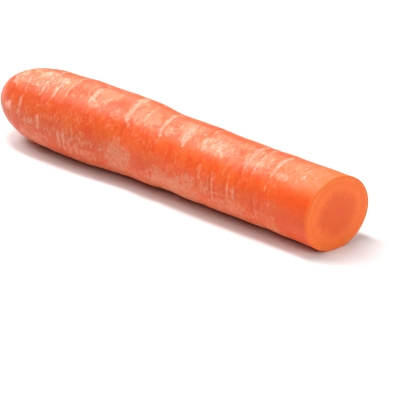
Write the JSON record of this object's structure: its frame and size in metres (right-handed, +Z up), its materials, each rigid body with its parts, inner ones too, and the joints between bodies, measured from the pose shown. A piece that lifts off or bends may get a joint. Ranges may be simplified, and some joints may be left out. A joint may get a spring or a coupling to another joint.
{
  "type": "carrot",
  "caption": "Large carrot lying on its side, leaves trimmed flush at the crown and tip cut off square, with shallow growth rings.",
  "frame": {"origin": "bottom centre of the bounding box, on the surface that the carrot lies on", "axes": "+X along the root from the crown to the cut face, +Y towards its back, +Z up"},
  "size_m": [0.1978, 0.0394, 0.0374],
  "materials": {
    "carrot_skin": "moist orange root skin, satin, with paler growth rings and a cut face with a rounder, duller core"
  },
  "bodies": {
    "root": {"carrot": "carrot_skin"}
  },
  "joints": []
}
